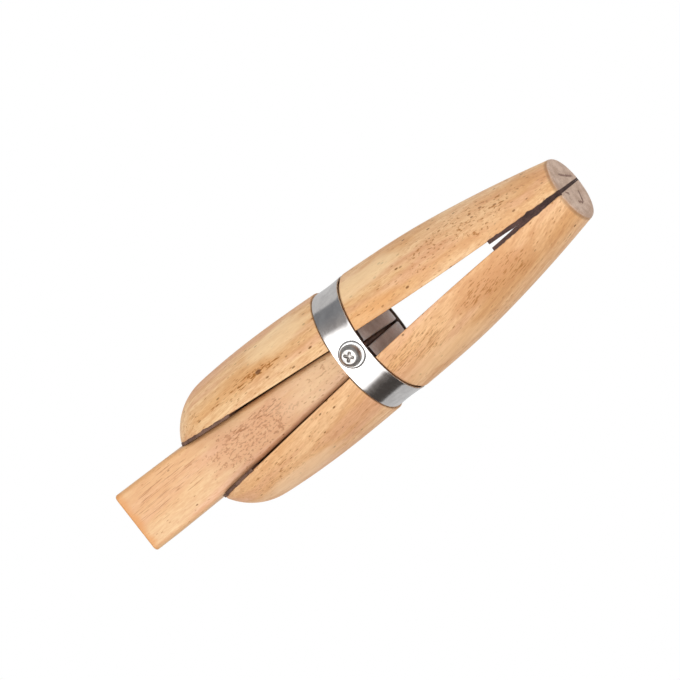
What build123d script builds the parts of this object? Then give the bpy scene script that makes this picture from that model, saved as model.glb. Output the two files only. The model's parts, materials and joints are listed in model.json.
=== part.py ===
from build123d import *
from math import cos, radians, tan
import os

# Wooden ring clamp: a turned barrel sawn into two jaws, held by a steel band
# round its waist and spread at the tail by a hand wedge, so that the nose grips.
# All sizes are millimetres. X runs from the tail to the flat nose, Z runs
# along the pivot screw, and the jaws open along Y.

# Barrel, as radii at distances from the screw
nose_x = 76.5
nose_radius = 10.15
nose_easing = 0.8
barrel_radius = 20.1
shoulder_x = 43.5
shoulder_drop = 3.65
waist_x = 28.5
waist_drop = 1.7
belly_x = -23.0
belly_rise = 0.9
dome_start_x = -48.0
dome_start_rise = 0.1
tail_x = -62.3
tail_radius = 11.0

# Saw cut between the jaws, one side of it
parting_skew = 0.7
saw_splay = 0.6
tail_seat_half_gap = 4.7
nose_seat_half_gap = 4.5
nose_mid_x = 34.6
nose_mid_half_gap = 2.3
nose_half_gap = 0.6
tail_relief = 5.2

# Steel band
band_recess = 0.3
band_thickness = 0.6
band_width = 9.5
band_edge_chamfer = 0.12
band_running_gap = 0.3
band_side_gap = 0.25

# Pivot screw, nut and the two curved washers
screw_diameter = 3.5
screw_hole_clearance = 0.15
head_diameter = 6.6
head_height = 2.7
head_crown = 2.2
head_flat_diameter = 3.2
recess_width = 4.0
recess_wing = 1.05
recess_depth = 1.6
recess_tip_radius = 0.7
recess_turn = 45
washer_diameter = 8.3
washer_thickness = 0.6
washer_seat_gap = 0.03
nut_across_flats = 6.0
nut_height = 2.8
nut_thread_clearance = 0.05
screw_end_beyond_nut = 1.0
screw_end_chamfer = 0.4

# Wedge
wedge_tip_x = -5.5
wedge_tip_thickness = 9.2
wedge_half_angle = 4.6
wedge_taper_end_x = -66.5
wedge_butt_x = -86.2
wedge_butt_thickness = 19.7
wedge_width = 25.4
wedge_long_easing = 1.5
wedge_end_easing = 0.7

# Leather
fulcrum_pad_thickness = 3.75
fulcrum_pad_splay = 1.2
fulcrum_pad_tail_x = -4.0
fulcrum_pad_rim_gap = 1.8
fulcrum_groove_clearance = 0.1
nose_pad_start_x = 51.5
nose_pad_meet_x = 60.0
nose_pad_start_half_gap = 0.6
nose_pad_clearance = 0.1
nose_pad_setback = 0.2
left_tail_pad_length = 21.5
right_tail_pad_length = 16.6
wedge_clearance = 0.1

# How far each jaw rocks about the screw when the nose is fully open
open_angle = 3.1

# Worked out from the sizes above
band_radius = barrel_radius - band_recess
belly_radius = barrel_radius + belly_rise
groove_floor = band_radius - band_thickness - band_running_gap
half_band = band_width / 2
washer_seat = band_radius + washer_seat_gap
washer_crest = washer_seat + washer_thickness
reach = 2 * max(nose_x, -wedge_butt_x)


def tail_face(x):
    """Distance of a jaw's sawn tail face from the parting plane."""
    return tail_seat_half_gap + (-half_band - x) * tan(radians(tail_relief))


def wedge_side(x):
    """Half thickness of the wedge along its tapered part."""
    return wedge_tip_thickness / 2 + (wedge_tip_x - x) * tan(radians(wedge_half_angle))


def slab(outline, side, splay):
    """Fill an outline on the left of the parting plane far past both faces of the clamp.

    Side is 1 for the left jaw and -1 for the right. The splay leans the slab away
    from the parting plane on the face with the screw head.
    """
    solid = extrude(make_face(outline), amount=2 * belly_radius, both=True)
    solid = Rot(-splay, 0, 0) * solid
    if side < 0:
        solid = mirror(solid, Plane.XZ)
    return Rot(0, 0, parting_skew) * solid


def nose_face():
    """Gently hollow sawn face from the band to past the nose, with its straight run-out."""
    hollow = ThreePointArc(
        (half_band, nose_seat_half_gap),
        (nose_mid_x, nose_mid_half_gap),
        (nose_x, nose_half_gap),
    )
    run_out = hollow % 1
    end = (hollow @ 1) + run_out * (reach - nose_x)
    return [hollow, Line(hollow @ 1, end)]


def jaw_side(side):
    """Everything on one side of the saw cut."""
    hollow, run_out = nose_face()
    rest = Polyline(
        run_out @ 1,
        (reach, reach),
        (-reach, reach),
        (-reach, tail_face(-reach)),
        (-half_band, tail_seat_half_gap),
        (half_band, nose_seat_half_gap),
    )
    return slab(Curve() + [hollow, run_out, rest], side, saw_splay)


def turned_barrel():
    """The barrel as it leaves the lathe, before it is sawn in two."""
    side = Spline(
        (nose_x, nose_radius),
        (shoulder_x, barrel_radius - shoulder_drop),
        (waist_x, barrel_radius - waist_drop),
        (0, barrel_radius),
        (belly_x, belly_radius),
        (dome_start_x, barrel_radius + dome_start_rise),
    )
    dome = TangentArc([side @ 1, (tail_x, tail_radius)], tangent=side % 1)
    rest = Polyline(dome @ 1, (tail_x, 0), (nose_x, 0), (nose_x, nose_radius))
    blank = revolve(make_face(Curve() + [side, dome, rest]), Axis.X)
    rim = blank.edges().filter_by(GeomType.CIRCLE).sort_by(Axis.X)[-1]
    return fillet(rim, nose_easing)


def band_path(tilt):
    """Room for the band as it lies across a jaw that has rocked by this angle."""
    width = band_width + 2 * band_side_gap
    outer = Cylinder(2 * belly_radius, width, rotation=(0, 90, 0))
    inner = Cylinder(groove_floor, width, rotation=(0, 90, 0))
    return Rot(0, 0, tilt) * (outer - inner)


def jaw(barrel, side):
    """One half of the barrel: side is 1 for the left jaw and -1 for the right."""
    half = barrel & jaw_side(side)
    return half - band_path(0) - band_path(-side * open_angle)


def nose_pad(barrel, side):
    """Leather lining of the grip, pressed flat where the two pads meet."""
    end_x = nose_x - nose_pad_setback
    pressed = Polyline(
        (nose_pad_start_x, nose_pad_start_half_gap),
        (nose_pad_meet_x, nose_pad_clearance),
        (end_x, nose_pad_clearance),
        (end_x, barrel_radius),
        (nose_pad_start_x, barrel_radius),
        close=True,
    )
    return barrel & (slab(pressed, side, 0) - jaw_side(side))


def tail_pad(barrel, side, length):
    """Leather lining where the wedge rubs, skived thinner towards the band."""
    start_x = tail_x + length
    rubbed = Polyline(
        (start_x, wedge_side(start_x) + wedge_clearance),
        (tail_x, wedge_side(tail_x) + wedge_clearance),
        (tail_x, barrel_radius),
        (start_x, barrel_radius),
        close=True,
    )
    return barrel & (slab(rubbed, side, 0) - jaw_side(side))


def fulcrum_pad(side):
    """Thick leather block between jaw and screw, with a half-round groove for the screw."""
    cut = nose_seat_half_gap - fulcrum_pad_thickness
    block = Polyline(
        (fulcrum_pad_tail_x, cut),
        (half_band, cut),
        (half_band, barrel_radius),
        (fulcrum_pad_tail_x, barrel_radius),
        close=True,
    )
    inside_band = band_radius - band_thickness - fulcrum_pad_rim_gap
    rim = Cylinder(inside_band, reach, rotation=(0, 90, 0))
    groove = Cylinder(screw_diameter / 2 + fulcrum_groove_clearance, reach)
    return (slab(block, side, fulcrum_pad_splay) & rim) - jaw_side(side) - groove


def wedge():
    """Hand wedge: a straight taper with a nearly parallel handle."""
    butt = wedge_butt_thickness / 2
    tip = wedge_tip_thickness / 2
    taper_end = wedge_side(wedge_taper_end_x)
    outline = [
        (wedge_tip_x, tip),
        (wedge_taper_end_x, taper_end),
        (wedge_butt_x, butt),
        (wedge_butt_x, -butt),
        (wedge_taper_end_x, -taper_end),
        (wedge_tip_x, -tip),
    ]
    face = make_face(Polyline(*outline, close=True))
    body = extrude(face, amount=wedge_width / 2, both=True)
    top_and_bottom = body.edges().group_by(Axis.Z)[0] + body.edges().group_by(Axis.Z)[-1]
    long_edges = top_and_bottom.filter_by(Axis.Y, reverse=True)
    body = fillet(long_edges, wedge_long_easing)
    ends = body.faces().sort_by(Axis.X)
    body = fillet(ends[0].edges() + ends[-1].edges(), wedge_end_easing)
    return Rot(0, 0, parting_skew) * body


def band():
    """Closed steel band with a hole at each end of the screw."""
    outer = Cylinder(band_radius, band_width, rotation=(0, 90, 0))
    outer = chamfer(outer.edges().filter_by(GeomType.CIRCLE), band_edge_chamfer)
    inner = Cylinder(band_radius - band_thickness, reach, rotation=(0, 90, 0))
    hole = Cylinder(screw_diameter / 2 + screw_hole_clearance, reach)
    return outer - inner - hole


def curved_washer(end):
    """Washer bent to the band: end is 1 under the head and -1 under the nut."""
    disc = Pos(0, 0, end * washer_seat) * Cylinder(washer_diameter / 2, washer_seat)
    outer = Cylinder(washer_crest, reach, rotation=(0, 90, 0))
    inner = Cylinder(washer_seat, reach, rotation=(0, 90, 0))
    hole = Cylinder(screw_diameter / 2 + screw_hole_clearance, reach)
    return (disc & outer) - inner - hole


def pivot_screw():
    """Pan head machine screw with a cross recess, threaded end down."""
    radius = head_diameter / 2
    top_z = washer_crest + head_height
    end_z = -washer_crest - nut_height - screw_end_beyond_nut
    shank = screw_diameter / 2
    flat = head_flat_diameter / 2
    head_side = Line((radius, washer_crest), (radius, top_z - head_crown))
    crown = EllipticalCenterArc((flat, top_z - head_crown), radius - flat, head_crown, arc_size=90)
    rest = Polyline(
        (flat, top_z),
        (0, top_z),
        (0, end_z),
        (shank - screw_end_chamfer, end_z),
        (shank, end_z + screw_end_chamfer),
        (shank, washer_crest),
        (radius, washer_crest),
    )
    profile = make_face(Curve() + [head_side, crown, rest])
    body = revolve(Plane.XZ * profile, Axis.Z)
    wing = Box(recess_width, recess_wing, 2 * recess_depth)
    cross = Pos(0, 0, top_z) * (wing + Rot(0, 0, 90) * wing)
    taper = Pos(0, 0, top_z - recess_depth / 2) * Cone(
        recess_tip_radius, recess_width / 2, recess_depth
    )
    return body - Rot(0, 0, recess_turn) * (cross & taper)


def pivot_nut():
    """Hexagon nut with the corners turned off on both faces."""
    corner = nut_across_flats / 2 / cos(radians(30))
    hexagon = extrude(RegularPolygon(corner, 6), amount=nut_height / 2, both=True)
    turned = Cylinder(corner, nut_height)
    turned = chamfer(turned.edges(), corner - nut_across_flats / 2)
    hole = Cylinder(screw_diameter / 2 + nut_thread_clearance, reach)
    return Pos(0, 0, -washer_crest - nut_height / 2) * ((hexagon & turned) - hole)


barrel = turned_barrel()
nodes = {
    "left_jaw": jaw(barrel, 1),
    "right_jaw": jaw(barrel, -1),
    "wedge": wedge(),
    "band": band(),
    "pivot_screw": pivot_screw(),
    "head_washer": curved_washer(1),
    "nut_washer": curved_washer(-1),
    "pivot_nut": pivot_nut(),
    "left_fulcrum_pad": fulcrum_pad(1),
    "right_fulcrum_pad": fulcrum_pad(-1),
    "left_nose_pad": nose_pad(barrel, 1),
    "right_nose_pad": nose_pad(barrel, -1),
    "left_tail_pad": tail_pad(barrel, 1, left_tail_pad_length),
    "right_tail_pad": tail_pad(barrel, -1, right_tail_pad_length),
}

# The origin is the middle of the underside, where the clamp lies on a bench
box = Compound(children=[Compound(n.wrapped) for n in nodes.values()]).bounding_box()
to_origin = Pos(-box.center().X, -box.center().Y, -box.min.Z)

os.makedirs("parts", exist_ok=True)
for name, solid in nodes.items():
    export_step(to_origin * solid, f"parts/{name}.step")
print("pivot axis at", (to_origin * Pos(0, 0, 0)).position)
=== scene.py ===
import bisect
import json
from math import atan2, copysign, cos, exp, hypot, inf, log, pi, radians, sin, sqrt, tan

import bmesh
import bpy
from mathutils import Matrix, Vector, noise


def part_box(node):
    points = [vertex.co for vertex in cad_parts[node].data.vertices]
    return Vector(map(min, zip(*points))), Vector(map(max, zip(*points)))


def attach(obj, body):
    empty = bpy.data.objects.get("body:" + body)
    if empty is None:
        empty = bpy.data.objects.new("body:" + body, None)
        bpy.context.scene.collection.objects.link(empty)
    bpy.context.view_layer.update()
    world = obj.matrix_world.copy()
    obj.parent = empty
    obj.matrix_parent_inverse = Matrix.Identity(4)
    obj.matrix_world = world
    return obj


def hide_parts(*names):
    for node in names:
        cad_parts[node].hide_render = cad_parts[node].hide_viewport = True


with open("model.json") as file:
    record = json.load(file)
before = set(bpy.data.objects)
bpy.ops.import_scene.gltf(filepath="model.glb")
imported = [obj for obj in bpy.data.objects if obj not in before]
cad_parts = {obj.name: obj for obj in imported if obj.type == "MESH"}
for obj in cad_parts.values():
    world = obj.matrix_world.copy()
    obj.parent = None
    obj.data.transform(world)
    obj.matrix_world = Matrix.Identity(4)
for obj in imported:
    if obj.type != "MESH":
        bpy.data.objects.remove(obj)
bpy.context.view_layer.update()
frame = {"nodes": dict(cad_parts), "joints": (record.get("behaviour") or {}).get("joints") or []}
print("frame loaded")

# Sizes are in millimetres about the middle of the pivot screw, with X to the nose and Z to the screw head.
# The floor's own are in metres.
mm = 0.001
joints = {joint["name"]: joint for joint in frame["joints"]}
pivot = Vector(joints["left_jaw_rock"]["pos_m"])
slideAxis = joints["wedge_slide"]["axis"]
skew = atan2(-slideAxis[1], -slideAxis[0])  # the saw cut runs a little off the barrel's axis
openTan = tan(radians(joints["left_jaw_rock"]["range_deg"][1]))


def boxOf(node):
    low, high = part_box(node)
    return (low - pivot) / mm, (high - pivot) / mm


bandHigh = boxOf("band")[1]
bandHalf = bandHigh.x
bandRadius = bandHigh.y
jawLow, jawHigh = boxOf("left_jaw")
wedgeLow, wedgeHigh = boxOf("wedge")
sides = (("left", 1), ("right", -1))


# Camera and surroundings

camera = dict(
    aim=(-6.9, 5.38, 0.0),  # the middle of the picture, from the pivot
    tiltDeg=19.0,  # off the screw's axis, towards the nose
    rollDeg=37.3,  # how far the clamp's axis rises across the picture
    distance=5000.0,
    fieldWidth=195.0,  # what the picture takes in at the pivot
    sensor=36.0,
    clipEnd=40,  # metres
)


def addObject(name, data):
    item = bpy.data.objects.new(name, data)
    bpy.context.scene.collection.objects.link(item)
    return item


def addCamera():
    tilt = radians(camera["tiltDeg"])
    roll = radians(camera["rollDeg"])
    back = Vector((sin(tilt), 0, cos(tilt)))
    along = Vector((cos(tilt), 0, -sin(tilt)))
    across = Vector((0, 1, 0))
    right = along * cos(roll) - across * sin(roll)
    up = along * sin(roll) + across * cos(roll)
    data = bpy.data.cameras.new("photoCamera")
    data.sensor_width = camera["sensor"]
    data.lens = camera["sensor"] * camera["distance"] / camera["fieldWidth"]
    data.clip_end = camera["clipEnd"]
    item = addObject("photoCamera", data)
    place = pivot + (Vector(camera["aim"]) + back * camera["distance"]) * mm
    turn = Matrix((right, up, back)).transposed().to_4x4()
    item.matrix_world = Matrix.Translation(place) @ turn
    bpy.context.scene.camera = item


def tone(red, green, blue):  # a colour as seen on screen, 0 to 255, as linear light
    def linear(part):
        part /= 255
        return part / 12.92 if part <= 0.04045 else ((part + 0.055) / 1.055) ** 2.4

    return linear(red), linear(green), linear(blue), 1


def grey(value):
    return value, value, value, 1


nodeSpacing = (200, 180)  # across and down in the node editor


# One node, right of what feeds it. An input is a plain value or another node's output, which gives the tree.
def put(kind, inputs=None, tree=None, **settings):
    inputs = inputs or {}
    fed = {key: value for key, value in inputs.items() if isinstance(value, bpy.types.NodeSocket)}
    tree = tree or next(iter(fed.values())).id_data
    node = tree.nodes.new(kind)
    for key, value in settings.items():
        setattr(node, key, value)
    for key, value in inputs.items():
        if key in fed:
            tree.links.new(value, node.inputs[key])
        else:
            node.inputs[key].default_value = value
    column = max((value.node.location.x + nodeSpacing[0] for value in fed.values()), default=0)
    row = sum(other.location.x == column for other in tree.nodes if other != node)
    node.location = (column, -row * nodeSpacing[1])
    return node


def maths(operation, *values, clamp=False):
    inputs = dict(enumerate(values))
    return put("ShaderNodeMath", inputs, operation=operation, use_clamp=clamp).outputs[0]


def times(*values):
    return maths("MULTIPLY", *values)


def vectorMaths(operation, *values):  # a length or a dot product is a plain value
    inputs = dict(enumerate(values))
    outputs = put("ShaderNodeVectorMath", inputs, operation=operation).outputs
    return outputs["Value" if operation in ("LENGTH", "DOT_PRODUCT") else "Vector"]


def blend(amount, first, second):
    inputs = {0: amount, 6: first, 7: second}
    return put("ShaderNodeMix", inputs, data_type="RGBA").outputs[2]


def average(first, second):
    return put("ShaderNodeMix", {0: 0.5, 2: first, 3: second}).outputs[0]


def step(value, low, high, to=(0, 1)):  # a soft step from low to high
    inputs = {0: value, 1: low, 2: high, 3: to[0], 4: to[1]}
    return put("ShaderNodeMapRange", inputs, interpolation_type="SMOOTHSTEP").outputs[0]


def splitUp(vector):
    return put("ShaderNodeSeparateXYZ", {0: vector}).outputs


def emptyTree(owner):  # the owner is a material or the world
    owner.use_nodes = True
    owner.node_tree.nodes.clear()
    return owner.node_tree


def newMaterial(name):
    material = bpy.data.materials.new(name)
    return material, emptyTree(material)


studio = dict(
    daylight=0.64,  # light on plain surfaces from all round
    key=1.5,  # one broad soft light from the camera's side
    keyAngleDeg=50,
    keyTiltDeg=-5,
    paleness=tone(188, 180, 174),  # the dark surroundings lighten towards the overhead white
    palenessRise=(0.12, 0.62),  # heights between which they do, as sine
    palenessShare=0.55,
    overhead=2.0,  # what bright metal mirrors from above
    overheadFrom=(0.41, 0.55),  # height at which the overhead white begins on the right, as sine
    overheadLift=0.14,  # how much higher it begins on the left
    leftDark=tone(140, 142, 145),
    rightDark=tone(74, 69, 66),
    sideSoftness=0.2,  # how gently left turns to right
    floorMirror=0.64,
    floorMirrorReach=(0.125, 0.155),  # from the clamp to where the mirrored floor falls dark
    floorMirrorLift=0.03,  # how much farther it stays bright on the left
    floorSideSoftness=0.02,
    floorSize=6.0,
)


def sideDark(sideways):
    return blend(sideways, studio["rightDark"], studio["leftDark"])


def mirrorEdge(sideways, value, lift, limits, below, above):  # the edge moves outwards on the left
    moved = maths("SUBTRACT", value, times(sideways, lift))
    return blend(step(moved, *limits), below, above)


def addWorld():
    world = bpy.data.worlds.new("studio")
    bpy.context.scene.world = world
    tree = emptyTree(world)
    direction = put("ShaderNodeTexCoord", tree=tree).outputs["Generated"]
    parts = splitUp(direction)
    sideways = step(parts[1], -studio["sideSoftness"], studio["sideSoftness"])
    rising = step(parts[2], *studio["palenessRise"], to=(0, studio["palenessShare"]))
    dark = blend(rising, sideDark(sideways), studio["paleness"])
    lift, edge = studio["overheadLift"], studio["overheadFrom"]
    mirrored = mirrorEdge(sideways, parts[2], lift, edge, dark, grey(studio["overhead"]))
    rays = put("ShaderNodeLightPath", tree=tree).outputs
    plain = blend(rays["Is Camera Ray"], grey(studio["daylight"]), grey(1))
    seen = blend(rays["Is Glossy Ray"], plain, mirrored)
    background = put("ShaderNodeBackground", {"Color": seen})
    put("ShaderNodeOutputWorld", {0: background.outputs[0]})


def makePaper():  # white to the camera, and darker far off in what bright metal mirrors
    paper, tree = newMaterial("whitePaper")
    position = put("ShaderNodeTexCoord", tree=tree).outputs["Object"]
    away = vectorMaths("LENGTH", position)
    soft = studio["floorSideSoftness"]
    sideways = step(splitUp(position)[1], -soft, soft)
    lift, edge = studio["floorMirrorLift"], studio["floorMirrorReach"]
    mirrored = mirrorEdge(sideways, away, lift, edge, grey(studio["floorMirror"]), sideDark(sideways))
    rays = put("ShaderNodeLightPath", tree=tree).outputs
    seen = blend(rays["Is Glossy Ray"], grey(1), mirrored)
    glow = put("ShaderNodeEmission", {"Color": seen})
    put("ShaderNodeOutputMaterial", {0: glow.outputs[0]})
    return paper


def addFloor():
    half = studio["floorSize"] / 2
    corners = [(x * half, y * half, 0) for x, y in ((-1, -1), (1, -1), (1, 1), (-1, 1))]
    mesh = bpy.data.meshes.new("floor")
    mesh.from_pydata(corners, [], [(0, 1, 2, 3)])
    mesh.materials.append(makePaper())
    addObject("floor", mesh)


def addKeyLight():
    lamp = bpy.data.lights.new("softKey", "SUN")
    lamp.energy = studio["key"]
    lamp.angle = radians(studio["keyAngleDeg"])
    addObject("softKey", lamp).rotation_euler = (0, radians(studio["keyTiltDeg"]), 0)


bpy.context.scene.view_settings.view_transform = "Standard"
addCamera()
addWorld()
addFloor()
addKeyLight()
print("camera, light and floor set")


# Meshes from closed loops of points

mergeDistance = 0.0005  # points nearer than this become one


def skin(name, loops, material, ring=False, sharpDeg=38):  # loops that shrink to a point close the ends
    count = len(loops[0])
    points = [pivot + Vector(point) * mm for loop in loops for point in loop]
    rows = len(loops) if ring else len(loops) - 1
    faces = []
    for row in range(rows):
        first = row * count
        second = (row + 1) % len(loops) * count
        for k in range(count):
            after = (k + 1) % count
            faces.append((first + k, first + after, second + after, second + k))
    mesh = bpy.data.meshes.new(name)
    mesh.from_pydata(points, [], faces)
    work = bmesh.new()
    work.from_mesh(mesh)
    bmesh.ops.remove_doubles(work, verts=work.verts, dist=mergeDistance * mm)
    bmesh.ops.recalc_face_normals(work, faces=work.faces)
    work.to_mesh(mesh)
    work.free()
    mesh.polygons.foreach_set("use_smooth", [True] * len(mesh.polygons))
    mesh.set_sharp_from_angle(angle=radians(sharpDeg))
    mesh.materials.append(material)
    item = addObject(name, mesh)
    item.modifiers.new("evenShading", "WEIGHTED_NORMAL").keep_sharp = True
    return item


def refinish(item, material, chosen):  # the choice is made by a face's centre and normal
    item.data.materials.append(material)
    for face in item.data.polygons:
        if chosen((face.center - pivot) / mm, face.normal):
            face.material_index = len(item.data.materials) - 1


def seat(item, body, slot, *nodes):
    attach(item, body)
    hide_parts(*nodes)


def spread(start, end, count):  # evenly spaced values, both ends included
    return [start + (end - start) * k / count for k in range(count + 1)]


def quarterRound(size, steps):  # how far each row of a rounded edge lies in from the end and from the side
    turns = spread(0, pi / 2, steps)
    return [(size * (1 - sin(turn)), size * (1 - cos(turn))) for turn in turns]


def shrunk(loop, shares):  # copies of a loop drawn in towards its middle
    middle = sum((Vector(point) for point in loop), Vector()) / len(loop)
    return [[middle + (Vector(point) - middle) * share for point in loop] for share in shares]


# Wood

def newGroup(name, inputs):  # an input whose default is a number is a value, and any other is a vector
    group = bpy.data.node_groups.new(name, "ShaderNodeTree")
    for label, value in inputs.items():
        kind = "NodeSocketFloat" if isinstance(value, float) else "NodeSocketVector"
        socket = group.interface.new_socket(label, in_out="INPUT", socket_type=kind)
        if value is not None:
            socket.default_value = value
    return group, group.nodes.new("NodeGroupInput").outputs


def closeGroup(group, results):
    for label in results:
        group.interface.new_socket(label, in_out="OUTPUT", socket_type="NodeSocketFloat")
    end = group.nodes.new("NodeGroupOutput")
    for label, value in results.items():
        group.links.new(value, end.inputs[label])
    return group


def unevenness(vector, detail, rough, output="Fac"):
    inputs = {"Vector": vector, "Scale": 1.0, "Detail": detail, "Roughness": rough}
    return put("ShaderNodeTexNoise", inputs).outputs[output]


def cloud(vector, fineness, detail=2.0, rough=0.5, output="Fac"):
    scaled = vectorMaths("MULTIPLY", vector, fineness)
    return unevenness(scaled, detail, rough, output)


def flattened(vector):  # without its part along X
    return vectorMaths("MULTIPLY", vector, (0, 1, 1))


def fromAxis(vector):
    return vectorMaths("LENGTH", flattened(vector))


strokeCore = 0.5  # how much of a stroke is dark all through


# Strokes along X. A size is that of one cell, and the share is how much of it is dark.
def dashes(vector, size, share):
    cell = vectorMaths("DIVIDE", vector, size)
    cells = put("ShaderNodeTexVoronoi", {"Vector": cell, "Scale": 1.0})
    core = times(share, strokeCore)
    near = step(cells.outputs["Distance"], core, share, to=(1, 0))
    tint = put("ShaderNodeSeparateColor", {0: cells.outputs["Color"]}).outputs
    return near, tint


figure = dict(
    waver=(0, 2.6, 2.6),  # how far the grain strays
    waverFineness=(0.035, 0.12, 0.12),  # along the grain, then across it
    wanderFineness=(0.014, 0.05, 0.05),
    ringRise=(0.15, 0.9),  # a growth ring darkens slowly
    ringFall=(0.9, 1.0),  # and pales at once
    ringBreaks=(0.3, 0.6),
    breakFineness=(0.09, 0.8, 0.8),
    coarseFineness=(0.1, 0.95, 0.95),
    fineFineness=(0.42, 2.6, 2.6),
    tick=(2.4, 0.5, 0.5),
    pore=(2.9, 0.8, 0.8),
    boldPore=(4.2, 2.1, 2.1),
    patchFineness=(0.022, 0.11, 0.11),
)


def makeWoodFigure():
    group, given = newGroup("woodFigure", {
        "Position": None,
        "Ring Width": 3.0,
        "Ring Wander": 2.0,
        "Tick Share": 0.34,
        "Pore Share": 0.2,
        "Bold Pore Share": 0.16,
        "Bold Pore Count": 0.5,
    })
    position = given["Position"]
    waver = cloud(position, figure["waverFineness"], output="Color")
    waver = vectorMaths("MULTIPLY", waver, figure["waver"])
    flowing = vectorMaths("ADD", position, waver)
    distance = fromAxis(flowing)
    wander = cloud(position, figure["wanderFineness"], detail=3.0, rough=0.55)
    wander = times(wander, given["Ring Wander"])
    distance = maths("ADD", distance, wander)
    turns = maths("DIVIDE", distance, given["Ring Width"])
    across = maths("FRACT", turns)
    rise = step(across, *figure["ringRise"])
    fall = step(across, *figure["ringFall"], to=(1, 0))
    rings = times(rise, fall)
    breaks = cloud(flowing, figure["breakFineness"], detail=3.0, rough=0.6)
    broken = step(breaks, *figure["ringBreaks"])
    coarse = cloud(flowing, figure["coarseFineness"], detail=3.0, rough=0.62)
    fine = cloud(flowing, figure["fineFineness"], detail=2.0, rough=0.62)
    ticks, tickTint = dashes(flowing, figure["tick"], given["Tick Share"])
    pores, poreTint = dashes(flowing, figure["pore"], given["Pore Share"])
    bold, boldTint = dashes(flowing, figure["boldPore"], given["Bold Pore Share"])
    kept = step(boldTint[0], 0, given["Bold Pore Count"], to=(1, 0))
    return closeGroup(group, {
        "Rings": times(rings, broken),
        "Fibre": average(coarse, fine),
        "Ticks": times(ticks, tickTint[1]),
        "Pores": times(pores, poreTint[1]),
        "Bold Pores": times(bold, kept),
        "Patches": cloud(position, figure["patchFineness"], detail=4.0, rough=0.55),
    })


fleckEdge = dict(
    unevenFineness=(0.12, 0.3, 0.3),
    unevenShare=0.8,
    fade=(0.85, 1.4),  # from the patch's inside to its outside, in half sizes
    grainFrom=0.78,  # the dark end of the noise that is left bare
    grainSoftness=0.1,
)


def makeFleckPatch():  # a long patch of small dark flecks, fading at its ends
    group, given = newGroup("fleckPatch", {
        "Position": None,
        "Strokes": None,  # the same place, along the strokes
        "Centre": None,
        "Half Size": (10, 2, 10),
        "Stroke": (2, 0.7, 0.7),
        "Density": 0.5,
    })
    offset = vectorMaths("SUBTRACT", given["Position"], given["Centre"])
    share = vectorMaths("DIVIDE", offset, given["Half Size"])
    away = vectorMaths("LENGTH", share)
    uneven = cloud(given["Position"], fleckEdge["unevenFineness"])
    uneven = times(uneven, fleckEdge["unevenShare"])
    away = maths("ADD", away, uneven)
    area = step(away, *fleckEdge["fade"], to=(1, 0))
    strokes = vectorMaths("DIVIDE", given["Strokes"], given["Stroke"])
    grains = unevenness(strokes, detail=2.0, rough=0.6)
    limit = times(area, given["Density"])
    limit = maths("SUBTRACT", fleckEdge["grainFrom"], limit)
    upper = maths("ADD", limit, fleckEdge["grainSoftness"])
    flecks = step(grains, limit, upper)
    return closeGroup(group, {"Flecks": flecks, "Area": area})


crack = dict(
    halfWidth=0.24,
    softness=2.2,  # how many half widths the shade beside it reaches
    depth=0.75,
    waver=(0, 1.6, 1.6),
    waverFineness=(0.9, 0.9, 0.9),
)


def makeCrackLine():  # a thin wavering line between two places on the end face
    inputs = {"Position": None, "Start": None, "End": None, "Half Width": 0.2}
    group, given = newGroup("crackLine", inputs)
    waver = cloud(given["Position"], crack["waverFineness"], output="Color")
    waver = vectorMaths("SUBTRACT", waver, (0.5, 0.5, 0.5))
    waver = vectorMaths("MULTIPLY", waver, crack["waver"])
    flat = flattened(vectorMaths("ADD", given["Position"], waver))
    along = flattened(vectorMaths("SUBTRACT", given["End"], given["Start"]))
    away = vectorMaths("SUBTRACT", flat, flattened(given["Start"]))
    reach = vectorMaths("DOT_PRODUCT", away, along)
    square = vectorMaths("DOT_PRODUCT", along, along)
    share = maths("DIVIDE", reach, square, clamp=True)
    foot = vectorMaths("MULTIPLY", along, share)
    distance = vectorMaths("LENGTH", vectorMaths("SUBTRACT", away, foot))
    soft = times(given["Half Width"], crack["softness"])
    line = step(distance, given["Half Width"], soft, to=(crack["depth"], 0))
    return closeGroup(group, {"Line": line})


woodFigure = makeWoodFigure()
crackLine = makeCrackLine()
fleckPatch = makeFleckPatch()


def place(group, inputs):
    return put("ShaderNodeGroup", inputs, node_tree=group).outputs


def finishMaterial(material, values, height, bump, depth=0.1):
    inputs = {"Height": height, "Strength": bump, "Distance": depth * mm}
    values["Normal"] = put("ShaderNodeBump", inputs).outputs[0]
    shader = put("ShaderNodeBsdfPrincipled", values)
    put("ShaderNodeOutputMaterial", {0: shader.outputs[0]})
    return material


# Object coordinates in millimetres about the pivot, or along the grain where turn and pith are given
def millimetres(tree, turn=(0, 0, 0), pith=(0, 0, 0)):
    position = put("ShaderNodeTexCoord", tree=tree).outputs["Object"]
    inputs = {
        "Vector": vectorMaths("SUBTRACT", position, pivot),
        "Location": pith,
        "Rotation": [radians(angle) for angle in turn],
        "Scale": (1 / mm,) * 3,
    }
    return put("ShaderNodeMapping", inputs).outputs[0]


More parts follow.
